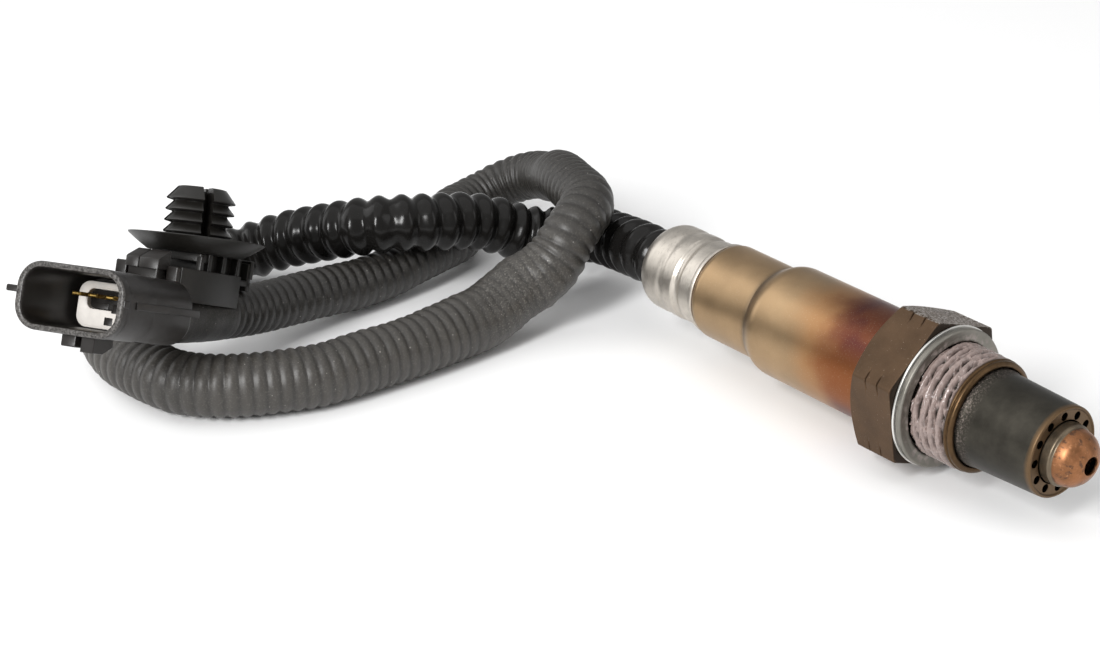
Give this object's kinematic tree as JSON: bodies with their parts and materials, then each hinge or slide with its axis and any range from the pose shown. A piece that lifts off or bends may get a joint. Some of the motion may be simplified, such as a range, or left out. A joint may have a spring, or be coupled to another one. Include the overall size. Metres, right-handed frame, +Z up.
{
  "type": "exhaust oxygen sensor with lead and plug",
  "caption": "Screw-in exhaust oxygen sensor with hexagon, crushed washer and vented probe, on a corrugated conduit lead with a plug and a push-in clip.",
  "frame": {"origin": "on the surface that the sensor lies on, under the middle of the sensor from cap to probe", "axes": "+X along the sensor's axis towards the probe, +Z up"},
  "size_m": [0.1563, 0.1203, 0.0335],
  "materials": {
    "hex_bronze": "matt brown heat-tinted steel",
    "washer_steel": "grey sheet steel",
    "tube_gunmetal": "dark heat-tinted steel",
    "dome_copper": "copper-tinted steel, scratched",
    "ceramic_white": "plain fired ceramic",
    "talc": "pressed powder",
    "shell_gold": "satin steel with straw to purple heat tint",
    "cap_steel": "satin steel",
    "black_rubber": "moulded rubber",
    "conduit_black": "glossy black corrugated plastic",
    "conduit_grey": "matt grey, dusty, corrugated",
    "connector_black": "satin black moulded plastic",
    "insert_white": "pale moulded plastic",
    "clip_black": "satin black moulded plastic",
    "contact_steel": "spring steel",
    "wire_cover": "insulated wire",
    "pin_gold": "gold-plated blade"
  },
  "bodies": {
    "root": {"hex_body": "hex_bronze", "sealing_washer": "washer_steel", "outer_protection_tube": "tube_gunmetal", "inner_protection_tube": "dome_copper", "sensing_element": "ceramic_white", "heater_rod": "ceramic_white", "talc_seal": "talc", "ceramic_bush": "ceramic_white", "shell_sleeve": "shell_gold", "crimp_cap": "cap_steel", "cable_grommet": "black_rubber", "contact_holder": "ceramic_white", "black_conduit": "conduit_black", "grey_conduit": "conduit_grey", "conduit_wrap": "conduit_grey", "thin_conduit": "conduit_grey", "connector_housing": "connector_black", "connector_insert": "insert_white", "wire_seal": "black_rubber", "mounting_clip": "clip_black", "contact_spring_1": "contact_steel", "lead_wire_1": "wire_cover", "terminal_pin_1": "pin_gold", "contact_spring_2": "contact_steel", "lead_wire_2": "wire_cover", "terminal_pin_2": "pin_gold", "contact_spring_3": "contact_steel", "lead_wire_3": "wire_cover", "terminal_pin_3": "pin_gold", "contact_spring_4": "contact_steel", "lead_wire_4": "wire_cover", "terminal_pin_4": "pin_gold"}
  },
  "joints": []
}
